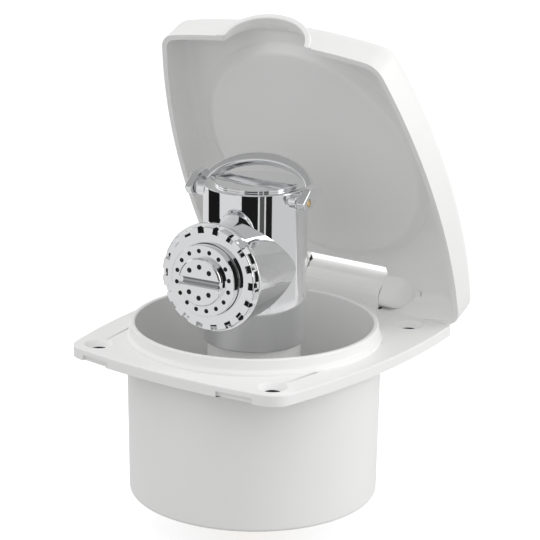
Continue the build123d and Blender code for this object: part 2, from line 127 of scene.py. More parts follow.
def moulded_plastic(name, colour, roughness, grain):
    """Injection-moulded plastic: faint cloudiness in the colour, a fine skin grain."""
    made = Finish(name, colour, roughness, IOR=1.46)
    cloud = made.noise(35.0, 3.0)
    tint = made.node(
        "ShaderNodeValToRGB",
        {"stops": [(0.3, (*[c * 0.985 for c in colour], 1.0)), (0.7, (*colour, 1.0))]},
        Fac=cloud,
    )
    made.feed("Base Color", tint)
    made.feed("Roughness", roughness - 0.03 + 0.06 * made.noise(160.0, 2.0))
    made.bump(made.noise(2600.0, 2.0), grain, 0.00002)
    return made.material


def plated_metal(name, colour, roughness, wave):
    """Plated or polished metal: a mirror whose gloss wanders a little with handling."""
    made = Finish(name, colour, roughness, metallic=1.0)
    smear = made.noise(90.0, 4.0, 0.6)
    made.feed("Roughness", roughness + 0.05 * smear * smear)
    made.bump(made.noise(70.0, 1.0), wave, 0.0001)
    return made.material


def turned_metal(name, colour, roughness):
    """Machined metal with fine tool marks."""
    made = Finish(name, colour, roughness, metallic=1.0)
    mark = made.noise(900.0, 2.0)
    made.feed("Roughness", roughness + 0.12 * mark)
    made.bump(mark, 0.2, 0.00003)
    return made.material


def soft_rubber(name, colour):
    """Matt black rubber with a dusty bloom."""
    made = Finish(name, colour, 0.75)
    made.feed("Roughness", 0.68 + 0.2 * made.noise(300.0, 3.0))
    made.bump(made.noise(1500.0, 2.0), 0.15, 0.00003)
    return made.material


WHITE = moulded_plastic("white_shell_plastic", (0.895, 0.895, 0.888), 0.34, 0.10)
GREY = moulded_plastic("grey_inner_plastic", (0.42, 0.43, 0.44), 0.45, 0.15)
CHROME = plated_metal("chrome_plate", (0.86, 0.865, 0.875), 0.035, 0.02)
BRASS = turned_metal("turned_brass", (0.72, 0.55, 0.28), 0.28)
STEEL = turned_metal("drawn_steel", (0.60, 0.61, 0.63), 0.30)
RUBBER = soft_rubber("black_rubber", (0.03, 0.03, 0.032))
SATIN_CHROME = plated_metal("satin_chrome", (0.86, 0.865, 0.875), 0.16, 0.03)
# The coin slot's trough: the same chrome painted darker, as painted shade in the slot
SLOT_PAINTED_SHADE = plated_metal("painted_slot_shade_chrome", (0.40, 0.405, 0.415), 0.10, 0.02)
# Near black: painted shade inside the jets and down the screw holes
PAINTED_HOLE_SHADE = Finish("painted_hole_shade", (0.012, 0.012, 0.013), 0.7).material


# Grids, outlines and pieces
def finish_piece(name, mesh, node, look=None, smooth_deg=30.0):
    """Puts a mesh into the scene in place of a node: on its body, in its slot, edges crisp."""
    made = bpy.data.objects.new(name, mesh)
    bpy.context.scene.collection.objects.link(made)
    if len(mesh.materials):
        mesh.materials.clear()
    look = look or LOOK[SLOT_OF[node]]
    for material in look if isinstance(look, tuple) else (look,):
        mesh.materials.append(material)
    mesh.polygons.foreach_set("use_smooth", np.ones(len(mesh.polygons), bool))
    mesh.set_sharp_from_angle(angle=math.radians(smooth_deg))
    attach(made, BODY_OF[node])
    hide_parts(node)
    return made


def grid_quads(nu, nv, close_u=False, close_v=False):
    """Corner numbers of the four-sided faces of an nu by nv grid, closed round either way."""
    u = np.arange(nu if close_u else nu - 1)
    v = np.arange(nv if close_v else nv - 1)
    uu, vv = np.meshgrid(u, v, indexing="ij")
    u2, v2 = (uu + 1) % nu, (vv + 1) % nv
    return np.stack([uu * nv + vv, u2 * nv + vv, u2 * nv + v2, uu * nv + v2], -1).reshape(-1, 4)


def stitch(name, grids, place=None):
    """One mesh in metres from grids of points in mm. Each grid is (points, close_u, close_v,
    material number). Points that meet are merged and every shell is turned outwards."""
    points, faces, looks, first = [], [], [], 0
    for grid in grids:
        grid, close_u, close_v, look = grid if place is None else moved(grid, place)
        nu, nv = grid.shape[:2]
        quads = grid_quads(nu, nv, close_u, close_v) + first
        points.append(grid.reshape(-1, 3))
        faces.append(quads)
        looks.append(np.full(len(quads), look))
        first += nu * nv
    mesh = bpy.data.meshes.new(name)
    mesh.from_pydata((np.concatenate(points) * MM).tolist(), [], np.concatenate(faces).tolist())
    mesh.polygons.foreach_set("material_index", np.concatenate(looks).astype(np.int32))
    mesh.update()
    return tidy_mesh(mesh)


def tidy_mesh(mesh, gap=1e-6):
    """Merges points that meet, as at a pole, and turns every face outwards."""
    made = bmesh.new()
    made.from_mesh(mesh)
    bmesh.ops.remove_doubles(made, verts=made.verts, dist=gap)
    bmesh.ops.dissolve_degenerate(made, edges=made.edges, dist=gap)
    bmesh.ops.recalc_face_normals(made, faces=made.faces)
    made.to_mesh(mesh)
    made.free()
    mesh.update()
    return mesh


def soften(points, radius, steps=4, guard=0.35, closed=False):
    """A (radius, height) outline whose corners are cut by small curves: each corner becomes
    a quadratic curve between the points one radius away along its two sides, with one more
    point a guard further out on each side, so that the flats beside it stay flat."""
    p = np.asarray(points, float)
    if closed:
        before, after, kept = np.roll(p, 1, 0), np.roll(p, -1, 0), p
        out = []
    else:
        before, after, kept = p[:-2], p[2:], p[1:-1]
        out = [p[0]]
    t = np.linspace(0, 1, steps + 1)[:, None]
    for a, b, c, wish in zip(before, kept, after, np.broadcast_to(radius, len(kept))):
        da, dc = np.linalg.norm(a - b), np.linalg.norm(c - b)
        cut = min(wish, 0.32 * da, 0.32 * dc)
        far_a, far_c = min(cut + guard, 0.46 * da), min(cut + guard, 0.46 * dc)
        start, end = b + (a - b) / da * cut, b + (c - b) / dc * cut
        out.append(b + (a - b) / da * far_a)
        out.extend((1 - t) ** 2 * start + 2 * t * (1 - t) * b + t ** 2 * end)
        out.append(b + (c - b) / dc * far_c)
    if not closed:
        out.append(p[-1])
    return np.array(out)


def turned(profile, sides, soft, closed=False):
    """A profile of (radius, height) turned about its axis: x = r cos a, y = r sin a, z = h.
    Ends that touch the axis are closed there; a closed profile makes a ring."""
    p = soften(profile, soft, closed=closed)
    a = np.linspace(0, 2 * math.pi, sides, endpoint=False)
    r, h = p[:, None, 0], p[:, None, 1] + 0 * a
    return np.stack([r * np.cos(a), r * np.sin(a), h], -1), closed, True, 0


def moved(grid, place):
    """The same grid after a place matrix, given in mm."""
    points, close_u, close_v, look = grid
    m = np.array(place)
    return points @ m[:3, :3].T + m[:3, 3], close_u, close_v, look


def circle_meet(c1, r1, c2, r2, side):
    """The point where two circles meet, on the given side of the line between their centres."""
    d = c2 - c1
    reach = np.linalg.norm(d)
    along = (r1 * r1 - r2 * r2 + reach * reach) / (2 * reach)
    up = math.sqrt(max(r1 * r1 - along * along, 0.0))
    d = d / reach
    return c1 + along * d + side * up * np.array([-d[1], d[0]])


def four_arc_outline(half_x, side_r, side_y, front_y, front_r, back_y, back_r, corner_front, corner_back,
                     front_x, steps=18):
    """Points and outward directions round a plate bounded by four flat arcs whose corners
    are rounded by circles that touch both arcs. Runs anticlockwise from the front right. The
    front arc has a point at each x in front_x."""
    centre = {
        "right": np.array([half_x - side_r, side_y]), "left": np.array([side_r - half_x, side_y]),
        "front": np.array([0.0, front_y + front_r]), "back": np.array([0.0, back_y - back_r]),
    }
    radius = {"right": side_r, "left": side_r, "front": front_r, "back": back_r}
    corners = []
    for first, second, cut, sign in (
        ("front", "right", corner_front, (1, -1)), ("right", "back", corner_back, (1, 1)),
        ("back", "left", corner_back, (-1, 1)), ("left", "front", corner_front, (-1, -1)),
    ):
        options = [circle_meet(centre[first], radius[first] - cut, centre[second], radius[second] - cut, s)
                   for s in (-1, 1)]
        corners.append(max(options, key=lambda c: c[0] * sign[0] + c[1] * sign[1]))
    points, normals = [], []

    def arc(middle, r, angles):
        n = np.stack([np.cos(angles), np.sin(angles)], -1)
        points.append(middle + r * n)
        normals.append(n)

    def bearing(start, aim):
        return math.atan2(*(aim - start)[::-1])

    order = ("front", "right", "back", "left")
    corner_steps, flank_steps = 9, 7
    for k, (corner, cut) in enumerate(zip(corners, (corner_front, corner_back, corner_back, corner_front))):
        here, there = order[k], order[(k + 1) % 4]
        meet = bearing(centre[there], corner)
        arc(corner, cut, np.linspace(bearing(centre[here], corner), meet, corner_steps, endpoint=False))
        stop = bearing(centre[there], corners[(k + 1) % 4])
        stop += 2 * math.pi * (stop < meet)
        if there == "front":
            inner = -0.5 * math.pi + np.arcsin(np.asarray(front_x) / front_r)
            low = np.linspace(meet, inner[0], flank_steps, endpoint=False)
            high = np.linspace(inner[-1], stop, flank_steps, endpoint=False)[1:]
            arc(centre[there], radius[there], np.concatenate([low, inner, high]))
        else:
            arc(centre[there], radius[there], np.linspace(meet, stop, steps, endpoint=False))
    return np.concatenate(points), np.concatenate(normals)


def holed_face(centre, hole_r, border, blends, height):
    """A level face with a round hole: ring by ring it blends from the hole's circle to the
    border, each point on the line from the hole's centre to its border point."""
    out = border - centre
    rim = centre + hole_r * out / np.linalg.norm(out, axis=-1, keepdims=True)
    s = np.asarray(blends)[:, None, None]
    return raised(rim + s * (border - rim), height)


def raised(flat, height):
    """Points in x and y, given one height or a height each."""
    return np.concatenate([flat, np.broadcast_to(height, flat.shape[:-1])[..., None]], -1)


def cad_copy(name, node):
    """A merged copy of a frame node, so that its curved faces can be shaded smoothly."""
    mesh = frame["nodes"][node].data.copy()
    mesh.name = name
    return tidy_mesh(mesh, 2e-6)


# Places, in mm and degrees: the turned head, the nozzle's axis, the lever's shaft and arch, and
# the open lid
HEAD_TURN, NOZZLE_LIFT, NOZZLE_Z = 5.57, 1.69, 36.84
PIVOT_Y, PIVOT_Z = -5.5, 65.6
ARCH_Y, ARCH_Z, ARCH_LEAN = 0.8, 65.0, 46
HINGE_Y, HINGE_Z, OPEN_ANGLE = 66.5, 11.5, 65

HEAD = Matrix.Rotation(math.radians(HEAD_TURN), 4, "Z")
NOZZLE = (HEAD @ Matrix.Translation((0, 0, NOZZLE_Z))
          @ Matrix.Rotation(math.radians(90 - NOZZLE_LIFT), 4, "X"))
SHAFT = HEAD @ Matrix.Translation((0, PIVOT_Y, PIVOT_Z)) @ Matrix.Rotation(math.pi / 2, 4, "Y")
ARCH = HEAD @ Matrix.Translation((0, ARCH_Y, ARCH_Z)) @ Matrix.Rotation(math.radians(-ARCH_LEAN), 4, "X")
HINGE = Matrix.Translation((0, HINGE_Y, HINGE_Z))
LID_OPEN = HINGE @ Matrix.Rotation(math.radians(-OPEN_ANGLE), 4, "X") @ HINGE.inverted()

BODY_OF = {node: body for body, nodes in frame["record"]["behaviour"]["bodies"].items() for node in nodes}
SLOT_OF = {part["node"]: part["material_slot"] for part in frame["record"]["subparts"]}
LOOK = {
    "white_plastic": WHITE, "grey_plastic": GREY, "chrome": CHROME,
    "brass": BRASS, "steel": STEEL, "rubber": RUBBER,
}
for node, part in frame["nodes"].items():
    part.data.materials.clear()
    part.data.materials.append(LOOK[SLOT_OF[node]])


def piece(name, node, grids, place=None, look=None, smooth_deg=30.0):
    """A stitched piece that stands in for one node of the frame."""
    finish_piece(name, stitch(name, grids, place), node, look, smooth_deg)


# Chromed body and its cap
def shower_body():
    """An upright barrel, the nozzle's barrel on its own axis and two bosses for the lever."""
    foot, top, body_r, seat_r, seat = 3.8, 69.0, 21.25, 15.5, 67.4
    upright = turned([(0, foot), (body_r, foot), (body_r, top), (seat_r, top), (seat_r, seat),
                      (0, seat)], 192, 0.45)
    start, shoulder, end, barrel_r, neck_r = 2.0, 32.0, 35.3, 21.0, 18.2
    barrel = turned([(0, start), (barrel_r, start), (barrel_r, shoulder), (neck_r, shoulder),
                     (neck_r, end), (0, end)], 192, 0.4)
    boss_r, root, tip = 3.2, 19.0, 23.5
    grids = [moved(upright, HEAD), moved(barrel, NOZZLE)]
    for side in (-1, 1):
        near, far = side * root, side * tip
        boss = turned([(0, near), (boss_r, near), (boss_r, far), (0, far)], 48, 0.7)
        grids.append(moved(boss, SHAFT))
    piece("shower_body_shell", "shower_body", grids)


def top_cap():
    """A thin disc that rises a little from its edge to its middle."""
    cap_r, low, edge, middle = 17.0, 68.9, 69.9, 70.5
    cap = turned([(0, low), (cap_r, low), (cap_r, edge), (0.6 * cap_r, edge + 0.38), (0, middle)], 144, 0.35)
    piece("top_cap_disc", "top_cap", [cap], HEAD)


# Grip ring: teeth between slots with straight sides
def grip_ring():
    """One column of points per angle. A tooth's column and a slot's column have as many
    points, and where they meet both stand half a slot's width to the side of the slot's
    middle, so its two sides are straight."""
    bore_r, neck_r, root_r, tip_r, flange_r = 14.56, 18.4, 18.5, 21.0, 22.1
    back_z, step_z, floor_z, seat_z, face_z = 32.2, 34.4, 35.0, 35.4, 37.2
    teeth, half_slot = 18, 1.5
    pitch = 2 * math.pi / teeth
    back = soften([(neck_r, seat_z), (neck_r, back_z), (flange_r, back_z), (flange_r, step_z),
                   (tip_r, step_z)], [0.3, 0.7, 0.7], 6, 0.2)
    tooth = soften([(tip_r, step_z), (tip_r, face_z), (root_r, face_z)], 0.45, 6, 0.2)
    front = soften([(root_r, face_z), (bore_r, face_z), (bore_r, seat_z)], 0.4, 5, 0.2)[1:]
    rise = len(tooth) // 2 + 1
    inwards = np.sqrt(np.linspace(0, 0.8, rise - 1))
    floor = np.stack([tip_r - (tip_r - root_r) * inwards, np.where(inwards > 0, floor_z, step_z)], -1)
    root = np.stack([np.full(rise, root_r), np.linspace(floor_z, face_z, rise)], -1)
    as_tooth, as_slot = (np.concatenate([back[:-1], *middle, front]) for middle in ((tooth,), (floor, root)))
    columns = []
    for k in range(teeth):
        for spread in (-1.0, -0.5, 0.0, 0.5, 1.0):
            columns.append((as_slot, k * pitch + np.arcsin(half_slot * spread / as_slot[:, 0])))
        edge = np.arcsin(half_slot / as_tooth[:, 0])
        for share in (0.0, 0.06, 0.3, 0.5, 0.7, 0.94, 1.0):
            columns.append((as_tooth, k * pitch + edge + share * (pitch - 2 * edge)))
    grid = np.array([np.stack([p[:, 0] * np.cos(a), p[:, 0] * np.sin(a), p[:, 1]], -1) for p, a in columns])
    piece("grip_ring_teeth", "grip_ring", [(grid, True, True, 0)], NOZZLE, smooth_deg=32.0)


# Spray plate and plug: faces with jets in them
def jet_face(centre, border, z, radius=0.92, deep=0.5):
    """A face with one jet: the face with the jet's wall, and a disc deep in it painted near black as the
    shade inside the jet.
    """
    face = holed_face(centre, radius, border, [0, 0.12, 0.5, 1.0], z)
    low = face[0] - (0, 0, deep)
    middle = low.copy()
    middle[:, :2] = centre
    return (np.concatenate([[low], face]), 0), (np.stack([middle, low]), 1)


PLUG_R = 9.75
ARC_RUNS, SLOT_RUNS = (18, 12, 18), (12, 4, 12)


def half_moon(inset, slot_half=1.2, split=math.radians(67.2)):
    """A half moon's loop at an inset: the plug's arc from right to left, then the slot's side
    back to the right. Each has three runs, which meet on the rays at the split angle."""
    r, low = PLUG_R - inset, slot_half + inset
    start, ray = math.asin(low / r), low / math.tan(split)
    reach = r * math.cos(start)

    def runs(stops, counts):
        pairs = zip(stops, stops[1:], counts)
        return np.concatenate([np.linspace(a, b, count, endpoint=False) for a, b, count in pairs])

    a = runs([start, split, math.pi - split, math.pi - start], ARC_RUNS)
    x = runs([-reach, -ray, ray, reach], SLOT_RUNS)
    return np.concatenate([r * np.stack([np.cos(a), np.sin(a)], -1), np.stack([x, low + 0 * x], -1)])


def centre_plug():
    """A low disc that carries two half moons with the coin slot between them. A half moon's
    rim is a quarter circle of 1.0, and its face is three parts with one jet each."""
    foot, disc_top, rim_foot, edge, face_z, face_inset = 40.2, 41.9, 41.6, 42.6, 43.6, 1.25
    jet_circle, jet_r, jet_angles = 6.28, 1.05, (44.4, 90.0, 135.6)
    trough_x, trough_y, trough_z, trough_deep = 8.2, 1.3, disc_top + 0.02, 0.9
    grids = [turned([(0, foot), (PLUG_R, foot), (PLUG_R, disc_top), (0, disc_top)], 120, [0.1, 0.12])]
    across = np.linspace(-1, 1, 15)
    trough = np.stack([0 * across, trough_y * across, trough_z + trough_deep * across ** 2], -1)
    along = np.linspace(-trough_x, trough_x, 9)[:, None, None] * np.array([1.0, 0.0, 0.0])
    # The trough takes material 2, the chrome darkened as painted shade
    grids.append((along + trough, False, False, 2))

    quarter = np.radians(np.linspace(0, 90, 8))
    rows = [(0.0, rim_foot), (0.0, edge - 0.3), *zip(1 - np.cos(quarter), edge + np.sin(quarter)),
            (face_inset, face_z)]
    rim = np.array([raised(half_moon(inset), z) for inset, z in rows])
    inside = half_moon(face_inset)
    arc_ends = np.cumsum((0, *ARC_RUNS))
    slot_ends = arc_ends[-1] + np.cumsum((0, *SLOT_RUNS))
    between = np.linspace(0, 1, 9)[1:-1, None]
    faces = []
    for k, angle in enumerate(np.radians(jet_angles)):
        first, last = arc_ends[k], arc_ends[k + 1]
        back_first, back_last = slot_ends[2 - k], slot_ends[3 - k]
        border = [inside[first:last + 1]]
        if last != back_first:
            border.append(inside[last] + between * (inside[back_first] - inside[last]))
        border.append(inside[back_first + (last == back_first):back_last])
        if back_last % len(inside) != first:
            corner = inside[back_last]
            border += [[corner], corner + between * (inside[first] - corner)]
        jet = jet_circle * np.array([math.cos(angle), math.sin(angle)])
        faces += jet_face(jet, np.concatenate(border), face_z, jet_r)
    for half_turn in (0.0, math.pi):
        place = Matrix.Rotation(half_turn, 4, "Z")
        grids.append(moved((rim, False, True, 0), place))
        grids += [moved((face, False, True, look), place) for face, look in faces]
    piece("centre_plug_moons", "centre_plug", grids, NOZZLE, (CHROME, PAINTED_HOLE_SHADE, SLOT_PAINTED_SHADE), 32.0)


def spray_plate():
    """Each sector is a flat box (u, w) round its jet, blended from the jet's circle to its
    edges and then bent round the axis: x = (r0 + u) cos(w / r0), y = (r0 + u) sin(w / r0)."""
    jets, jet_circle, first_jet = 16, 12.07, math.radians(9.26)
    inner_r, outer_r, skirt_r, foot, face_z = 9.0, 13.7, 14.44, 35.6, 40.8
    steps = 7
    half_w = jet_circle * math.pi / jets
    t = np.linspace(0, 1, steps, endpoint=False)[:, None]
    box = np.array([(outer_r - jet_circle, -half_w), (outer_r - jet_circle, half_w),
                    (inner_r - jet_circle, half_w), (inner_r - jet_circle, -half_w)])
    border = np.concatenate([a + t * (b - a) for a, b in zip(box, np.roll(box, -1, 0))])
    grids = []
    for k in range(jets):
        turn = first_jet + k * 2 * math.pi / jets
        for both, look in jet_face(np.zeros(2), border, face_z):
            r, a = jet_circle + both[..., 0], turn + both[..., 1] / jet_circle
            grids.append((np.stack([r * np.cos(a), r * np.sin(a), both[..., 2]], -1), False, True, look))
    a = first_jet - math.pi / jets + np.linspace(0, 2 * math.pi, jets * steps, endpoint=False)
    skirt = soften([(outer_r, face_z), (skirt_r, face_z), (skirt_r, foot), (inner_r, foot),
                    (inner_r, face_z)], [0.6, 0.2, 0.2], 6, 0.1)
    r, z = skirt[:, :1], skirt[:, 1:] + 0 * a
    grids.append((np.stack([r * np.cos(a), r * np.sin(a), z], -1), False, True, 0))
    piece("spray_plate_face", "spray_plate", grids, NOZZLE, (CHROME, PAINTED_HOLE_SHADE), 32.0)


# Lever: a swept arch between two lugs
def bail_lever():
    """The arch's section is a squared-off oval between the inner and the outer ellipse:
    point = inner + a (outer - inner), b across, with |2a - 1|^5 + |b / 2.2|^5 = 1. The lugs
    are outlines pushed sideways, with a bore where the shaft's brass ends show."""
    outer_x, outer_z, inner_x, inner_z, half_width = 25.5, 18.0, 22.6, 13.5, 2.2
    foot_z, shift_y, square = 2.6, -0.6, 0.4
    low = math.asin(foot_z / outer_z)
    t = np.linspace(low, math.pi - low, 97)[:, None]
    around = np.linspace(0, 2 * math.pi, 40, endpoint=False)
    a = 0.5 + 0.5 * np.sign(np.cos(around)) * np.abs(np.cos(around)) ** square
    b = half_width * np.sign(np.sin(around)) * np.abs(np.sin(around)) ** square
    outer = np.concatenate([outer_x * np.cos(t), outer_z * np.sin(t)], -1)
    inner = np.concatenate([inner_x * np.cos(t), inner_z * np.sin(t)], -1)
    flat = inner[:, None] + a[:, None] * (outer - inner)[:, None]
    arch = np.stack([flat[..., 0], shift_y + b + 0 * flat[..., 0], flat[..., 1]], -1)
    ends = arch.mean(1, keepdims=True) + 0 * arch
    arch = np.concatenate([ends[:1], arch, ends[-1:]])
    grids = [moved((arch, False, True, 0), ARCH)]

    bore_r, bore_floor, lug_in, lug_out = 1.7, 26.3, 24.3, 27.7
    corners = np.array([(-10.4, 65.9), (-4.0, 71.2), (1.9, 71.6), (4.9, 70.0), (4.4, 67.4),
                        (0.3, 65.4), (-3.0, 62.9), (-8.3, 62.8)])
    edge = soften(corners, 0.9, 5, 0.3, closed=True)
    pivot = np.array([PIVOT_Y, PIVOT_Z])
    outward = edge - pivot
    rim = pivot + bore_r * outward / np.linalg.norm(outward, axis=-1, keepdims=True)
    away = (edge - rim) / np.linalg.norm(edge - rim, axis=-1, keepdims=True)
    rows = [(pivot + 0 * edge, bore_floor), (rim, bore_floor), (rim, lug_out - 0.1),
            (rim + 0.08 * away, lug_out), (rim + 0.4 * away, lug_out)]
    rows += [(edge - inset * away, lug_out - drop)
             for inset, drop in ((0.75, 0), (0.4, 0), (0.12, 0.1), (0, 0.35), (0, 0.7))]
    rows += [(edge - inset * away, lug_in + lift)
             for inset, lift in ((0, 0.7), (0, 0.35), (0.12, 0.1), (0.4, 0), (0.75, 0))]
    rows.append((pivot + 0 * edge, lug_in))
    for side in (-1, 1):
        lug = np.array([np.stack([side * x + 0 * yz[:, 0], yz[:, 0], yz[:, 1]], -1) for yz, x in rows])
        grids.append(moved((lug, False, True, 0), HEAD))
    piece("bail_lever_arch", "bail_lever", grids, look=SATIN_CHROME)


def cam_shaft():
    """A plain shaft with a small centre hole and a dished face at each end."""
    shaft_r, half, dish_r, hole_r, dish = 1.6, 27.35, 0.8, 0.55, 0.25
    shaft = turned([(0, -half), (hole_r, dish - half), (dish_r, -half), (shaft_r, -half),
                    (shaft_r, half), (dish_r, half), (hole_r, half - dish), (0, half)], 40, 0.2)
    piece("cam_shaft_pin", "cam_shaft", [moved(shaft, SHAFT)], smooth_deg=40.0)


# Box: the cup with its coaming, the flange with four countersunk holes, the hinge block
FLANGE_TOP = 4.5
SCREWS = ((43.4, 50.9), (-43.4, 50.9), (-43.4, -47.9), (43.4, -47.9))


def flange_grids():
    """Outside, each column of the outline runs up the edge, with the front's two notches cut
    below z = 2.3. On top and below, each quarter is a face blended from its screw hole to its
    border: a circle inside the cup's wall, two straight ends and the outline."""
    notches, notch_deep, notch_top, step = ((-43.5, -29.5), (25.0, 41.0)), 1.2, 2.3, 0.01
    front_x = [-43.5, -43.49, -36.0, -29.51, -29.5, -22.0, -14.0, -7.0, 0.0, 7.0, 14.0, 20.0,
               25.0, 25.01, 33.0, 40.99, 41.0]
    p, n = four_arc_outline(
        half_x=61.1, side_r=290.0, side_y=16.0, front_y=-61.2, front_r=296.0, back_y=62.0, back_r=1e5,
        corner_front=9.5, corner_back=1.5, front_x=front_x, steps=21)
    x = p[:, 0]
    notched = np.any([(x > start + step / 2) & (x < stop - step / 2) for start, stop in notches], axis=0)
    depth = np.where(notched & (p[:, 1] < -50), notch_deep, 0.0)
    edge = [(depth, 0.0), (depth, 0.4), (depth, notch_top), (0, notch_top), (0, 2.6), (0, 4.0),
            (0.03, 4.3), (0.12, 4.44), (0.3, FLANGE_TOP), (0.8, FLANGE_TOP)]
    grids = [(np.array([raised(p - np.reshape(inset, (-1, 1)) * n, z) for inset, z in edge]), False, True, 0)]

    inner_r, hole_r, sink_r = 50.4, 2.5, 5.9
    # The screw hole's wall up to z = 1.3 is drawn in near black, painted shade down the hole
    shadow = ((hole_r, 0.0), (hole_r, 0.2), (hole_r, 0.9), (hole_r, 1.1), (2.7, 1.3), (3.5, 2.1))
    cone = (shadow[-1], (5.6, 4.2), (sink_r, FLANGE_TOP))
    bearing = np.arctan2(p[:, 1], p[:, 0])
    cuts = [int(np.argmin(np.abs(np.angle(np.exp(1j * (bearing - a)))))) for a in np.arange(4) * math.pi / 2]
    t = np.array([0.25, 0.5, 0.75])[:, None]
    for screw, start, stop in zip(np.array(SCREWS), cuts, cuts[1:] + cuts[:1]):
        run = np.arange(start, stop + (len(p) if stop <= start else 0) + 1) % len(p)
        inner = inner_r * np.stack([np.cos(bearing[run]), np.sin(bearing[run])], -1)
        for inset, hole, z in ((0.8, sink_r, FLANGE_TOP), (depth[run][:, None], hole_r, 0.0)):
            outer = p[run] - inset * n[run]
            border = np.concatenate([outer, outer[-1] + t * (inner[-1] - outer[-1]), inner[::-1],
                                     inner[0] + t * (outer[0] - inner[0])])
            face = holed_face(screw, hole, border, [0, 0.06, 0.5, 1.0], z)
            if z > 0:
                # The hole's lower wall takes material 1, the painted hole shade; the countersink's cone stays
                # white
                dark, pale = (np.array([holed_face(screw, r, border, [0], h)[0] for r, h in rings])
                              for rings in (shadow, cone))
                grids.append((dark, False, True, 1))
                face = np.concatenate([pale, face[1:]])
            grids.append((face, False, True, 0))
    return grids


def sideways_bar(outline, middle, rows):
    """A bar along x from an outline in y and z. Each row is (share, x), and the outline is
    drawn in towards its middle by that share, so a share of 0 closes an end."""
    grid = [np.stack([x + 0 * outline[:, 0], *(middle + share * (outline - middle)).T], -1)
            for share, x in rows]
    return np.array(grid), False, True, 0


def box_body():
    """The cup as a turned ring, the flange, and the hinge block with the tongue below it."""
    seat_z, pocket_z, base_z, floor_z, step_z, rim_z = -68.0, -65.5, -61.7, -59.2, 5.4, 11.0
    bore_r, pocket_r, seat_r, base_r, cup_r, coaming_r = 21.6, 24.3, 26.5, 51.8, 52.5, 51.2
    mouth_r, inner_base_r = 49.1, 48.7
    cup = [(bore_r, seat_z), (seat_r, seat_z), (seat_r, base_z), (base_r, base_z), (cup_r, 0.0),
           (cup_r, step_z), (coaming_r, step_z + cup_r - coaming_r), (coaming_r, rim_z), (mouth_r, rim_z),
           (inner_base_r, floor_z), (pocket_r, floor_z), (pocket_r, pocket_z), (bore_r, pocket_z)]
    radii = [0.3, 0.4, 0.4, 1.3, 0.3, 0.5, 0.4, 0.75, 0.75, 1.5, 0.5, 0.5, 0.3]
    back_y, block_top, half_x = 74.0, 17.4, 20.1
    block = np.array([
        (63.2, 0.5), (back_y, 0.5), (back_y, block_top), (71.2, block_top), (69.8, 16.9), (69.0, 16.0),
        (68.7, 15.0), (67.9, 14.6), (67.1, 14.3), (64.9, 13.0), (64.0, 12.2), (63.35, 11.9), (62.9, 9.6),
        (62.95, 6.0),
    ])
    inset = 0.03
    tongue = np.array([(55.0, inset), (back_y - inset, inset), (back_y - inset, FLANGE_TOP - inset),
                       (55.0, FLANGE_TOP - inset)])
    cap = [(0.0, half_x), (0.9, half_x), (0.975, half_x), (0.992, half_x - 0.08), (1.0, half_x - 0.3),
           (1.0, half_x - 0.7)]
    rows = [(share, -x) for share, x in cap] + cap[::-1]
    bars = [sideways_bar(soften(block, 0.5, 3, 0.2, closed=True), np.array([69.5, 9.0]), rows),
            sideways_bar(soften(tongue, 0.2, 2, 0.2, closed=True), np.array([64.5, 2.2]), rows)]
    grids = [turned(cup, 192, radii, closed=True), *flange_grids(), *bars]
    piece("box_body_moulding", "box_body", grids, look=(WHITE, PAINTED_HOLE_SHADE))


# Lid: a shell with a finger pull at its front and two ears at its hinge
RIM_Z = 3.13
SLOT_HALF, SLOT_FRONT = 20.6, 57.8
MOUTH_STEPS, FOOT_STEPS, FOOT_R = 63, 8, 2.0


def mouth_path(y, out=0.0):
    """The finger pull's mouth at each y, or a curve that much further out: a half ellipse that
    narrows evenly as y goes out, half = 20.6 - 0.2 (-57 - y), height = 13.55 - 0.2136 (-57 - y),
    whose feet turn outwards in quarter circles. Gives x and the lift above the rim."""
    ahead = -57 - y
    half, height = 20.6 - 0.2 * ahead + out, 13.55 - 0.2136 * ahead + out
    foot = math.asin(FOOT_R / height[MOUTH_STEPS // 2])
    turn = np.radians(np.linspace(0, 90, FOOT_STEPS + 1))[:-1]
    around = foot + np.linspace(0, 1, MOUTH_STEPS - 2 * FOOT_STEPS) * (math.pi - 2 * foot)
    middle = slice(FOOT_STEPS, -FOOT_STEPS)
    edge = half[FOOT_STEPS] * math.cos(foot) + FOOT_R
    foot_x, foot_lift = FOOT_R * np.sin(turn) - edge, FOOT_R * (1 - np.cos(turn))
    x = np.concatenate([foot_x, -half[middle] * np.cos(around), -foot_x[::-1]])
    lift = np.concatenate([foot_lift, height[middle] * np.sin(around), foot_lift[::-1]])
    return x, lift


def pull_hood():
    """The finger pull: a half-round hood whose lip leans out, y = lip_y - lean * lift. Its
    inside follows the mouth, its outside stands a wall further out, and both lip edges are
    rounded."""
    root_y, lip_y, lean, foot_z, wall, edge_r = -62.6, -63.8, 0.3014, 3.15, 2.35, 0.5

    def rooted(out):
        """A row where the hood stands in the lid."""
        y = np.full(MOUTH_STEPS, root_y)
        x, lift = mouth_path(y, out)
        return np.stack([x, y, foot_z + lift], -1)

    def leaning(back, out):
        """A row whose y follows its lift, which is found in four rounds."""
        y = np.full(MOUTH_STEPS, -64.5)
        for _ in range(4):
            x, lift = mouth_path(y, out)
            y = lip_y - lean * lift + back
        return np.stack([x, y, foot_z + lift], -1)

    rows = [rooted(wall), leaning(1.0, wall), leaning(edge_r, wall)]
    for b in np.radians(np.linspace(15, 90, 6)):
        rows.append(leaning(edge_r * (1 - math.sin(b)), wall - edge_r * (1 - math.cos(b))))
    rows.append(leaning(0.0, 0.4 * wall))
    for b in np.radians(np.linspace(90, 0, 6)):
        rows.append(leaning(edge_r * (1 - math.sin(b)), edge_r * (1 - math.cos(b))))
    grid = np.array([*rows, leaning(1.0, 0.0), rooted(0.0)])
    ends = grid.mean(0, keepdims=True) + 0 * grid
    return np.concatenate([ends[:, :1], grid, ends[:, -1:]], 1), True, False, 0


